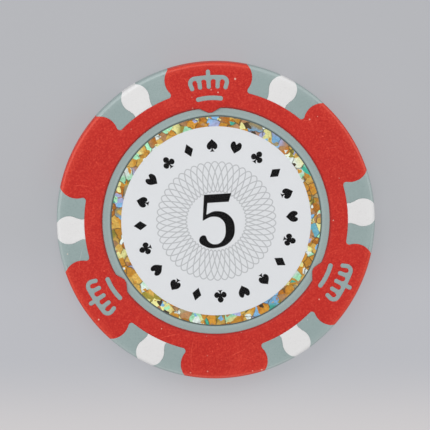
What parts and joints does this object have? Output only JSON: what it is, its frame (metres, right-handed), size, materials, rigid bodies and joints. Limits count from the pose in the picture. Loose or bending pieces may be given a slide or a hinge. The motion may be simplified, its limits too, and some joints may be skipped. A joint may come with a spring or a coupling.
{
  "type": "poker chip",
  "caption": "Round weighted gaming chip in red, grey and white composite with crowned lugs, edge spots and a foil-bordered label in a recess on each face.",
  "frame": {"origin": "middle of the back face, on which the chip lies", "axes": "+Z along the chip's axis, out of the front face; +Y towards one of the crowned lugs, which is up in the picture; +X to the right as the front face is seen"},
  "size_m": [0.04, 0.04, 0.0033],
  "materials": {
    "slug_steel": "stamped steel, as rolled",
    "grey_composite": "satin moulded composite, grey green",
    "red_composite": "matte moulded composite with a fine grain, red",
    "white_composite": "satin moulded composite, white",
    "label_adhesive": "clear acrylic adhesive",
    "holo_film": "metallised holographic film, gold with a cracked pattern",
    "label_print": "white vinyl, printed",
    "clear_overlay": "clear film"
  },
  "bodies": {
    "root": {"steel_slug": "slug_steel", "grey_core": "grey_composite", "red_overmould": "red_composite", "white_spot_1": "white_composite", "white_spot_2": "white_composite", "white_spot_3": "white_composite", "white_spot_4": "white_composite", "white_spot_5": "white_composite", "white_spot_6": "white_composite", "front_adhesive": "label_adhesive", "front_holo_film": "holo_film", "front_print": "label_print", "front_overlay": "clear_overlay", "back_adhesive": "label_adhesive", "back_holo_film": "holo_film", "back_print": "label_print", "back_overlay": "clear_overlay"}
  },
  "joints": []
}
